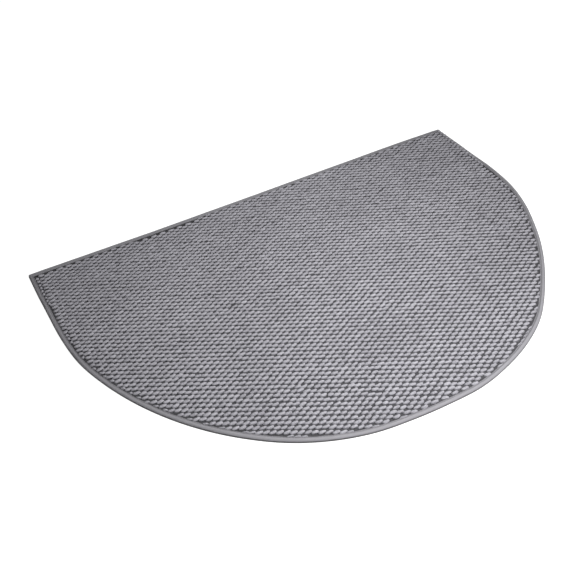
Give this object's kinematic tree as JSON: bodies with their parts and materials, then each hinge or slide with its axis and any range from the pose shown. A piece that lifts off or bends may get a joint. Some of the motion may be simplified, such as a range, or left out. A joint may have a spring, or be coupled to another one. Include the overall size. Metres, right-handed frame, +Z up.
{
  "type": "half round doormat",
  "caption": "Half round floor mat with a chunky knotted pile in offset rows, held in a narrow folded fabric edge tape.",
  "frame": {"origin": "centre of the mat's bounding box, on the floor face", "axes": "+Z up from the floor, +X along the straight edge, +Y from the rounded front towards the straight edge"},
  "size_m": [0.9, 0.6024, 0.007],
  "materials": {
    "pad_yarn": "matte knotted yarn",
    "tape_cloth": "matte plain woven tape"
  },
  "bodies": {
    "root": {"mat_pad": "pad_yarn", "edge_binding": "tape_cloth"}
  },
  "joints": []
}
